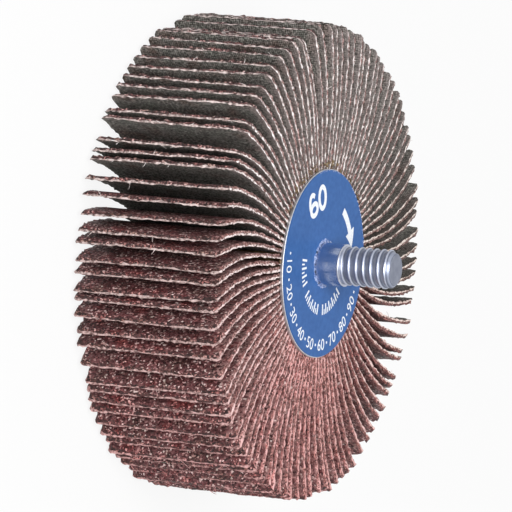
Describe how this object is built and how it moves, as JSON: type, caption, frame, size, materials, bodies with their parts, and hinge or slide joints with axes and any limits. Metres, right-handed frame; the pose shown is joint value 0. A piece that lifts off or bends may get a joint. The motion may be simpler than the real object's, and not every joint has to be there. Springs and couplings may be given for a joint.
{
  "type": "flap wheel",
  "caption": "Abrasive flap wheel: radial flaps of coated cloth cast into a resin core on a threaded steel shank, for smoothing metal in a drill or grinder.",
  "frame": {"origin": "on the wheel's axis, at the rear flange's flat face, which the wheel stands on", "axes": "+Z along the wheel's axis, out of the threaded end of the shank; +X and +Y lie in the wheel's plane"},
  "size_m": [0.0762, 0.0762, 0.0387],
  "materials": {
    "abrasive_cloth": "coated abrasive cloth, brown grit on one side and dark woven backing on the other",
    "bright_steel": "zinc plated, bright",
    "pressed_steel": "blanked and plated sheet, satin",
    "printed_label": "printed film, satin blue with white marks",
    "cast_resin": "cast epoxy resin, amber brown"
  },
  "bodies": {
    "root": {"threaded_shank": "bright_steel", "rear_flange": "pressed_steel", "resin_core": "cast_resin", "front_flange": "pressed_steel", "front_label": "printed_label", "flap_pair_01": "abrasive_cloth", "flap_pair_02": "abrasive_cloth", "flap_pair_03": "abrasive_cloth", "flap_pair_04": "abrasive_cloth", "flap_pair_05": "abrasive_cloth", "flap_pair_06": "abrasive_cloth", "flap_pair_07": "abrasive_cloth", "flap_pair_08": "abrasive_cloth", "flap_pair_09": "abrasive_cloth", "flap_pair_10": "abrasive_cloth", "flap_pair_11": "abrasive_cloth", "flap_pair_12": "abrasive_cloth", "flap_pair_13": "abrasive_cloth", "flap_pair_14": "abrasive_cloth", "flap_pair_15": "abrasive_cloth", "flap_pair_16": "abrasive_cloth", "flap_pair_17": "abrasive_cloth", "flap_pair_18": "abrasive_cloth", "flap_pair_19": "abrasive_cloth", "flap_pair_20": "abrasive_cloth", "flap_pair_21": "abrasive_cloth", "flap_pair_22": "abrasive_cloth", "flap_pair_23": "abrasive_cloth", "flap_pair_24": "abrasive_cloth", "flap_pair_25": "abrasive_cloth", "flap_pair_26": "abrasive_cloth", "flap_pair_27": "abrasive_cloth", "flap_pair_28": "abrasive_cloth", "flap_pair_29": "abrasive_cloth", "flap_pair_30": "abrasive_cloth", "flap_pair_31": "abrasive_cloth", "flap_pair_32": "abrasive_cloth", "flap_pair_33": "abrasive_cloth", "flap_pair_34": "abrasive_cloth", "flap_pair_35": "abrasive_cloth", "flap_pair_36": "abrasive_cloth", "flap_pair_37": "abrasive_cloth", "flap_pair_38": "abrasive_cloth", "flap_pair_39": "abrasive_cloth", "flap_pair_40": "abrasive_cloth", "flap_pair_41": "abrasive_cloth", "flap_pair_42": "abrasive_cloth", "flap_pair_43": "abrasive_cloth", "flap_pair_44": "abrasive_cloth", "flap_pair_45": "abrasive_cloth", "flap_pair_46": "abrasive_cloth", "flap_pair_47": "abrasive_cloth", "flap_pair_48": "abrasive_cloth"}
  },
  "joints": []
}
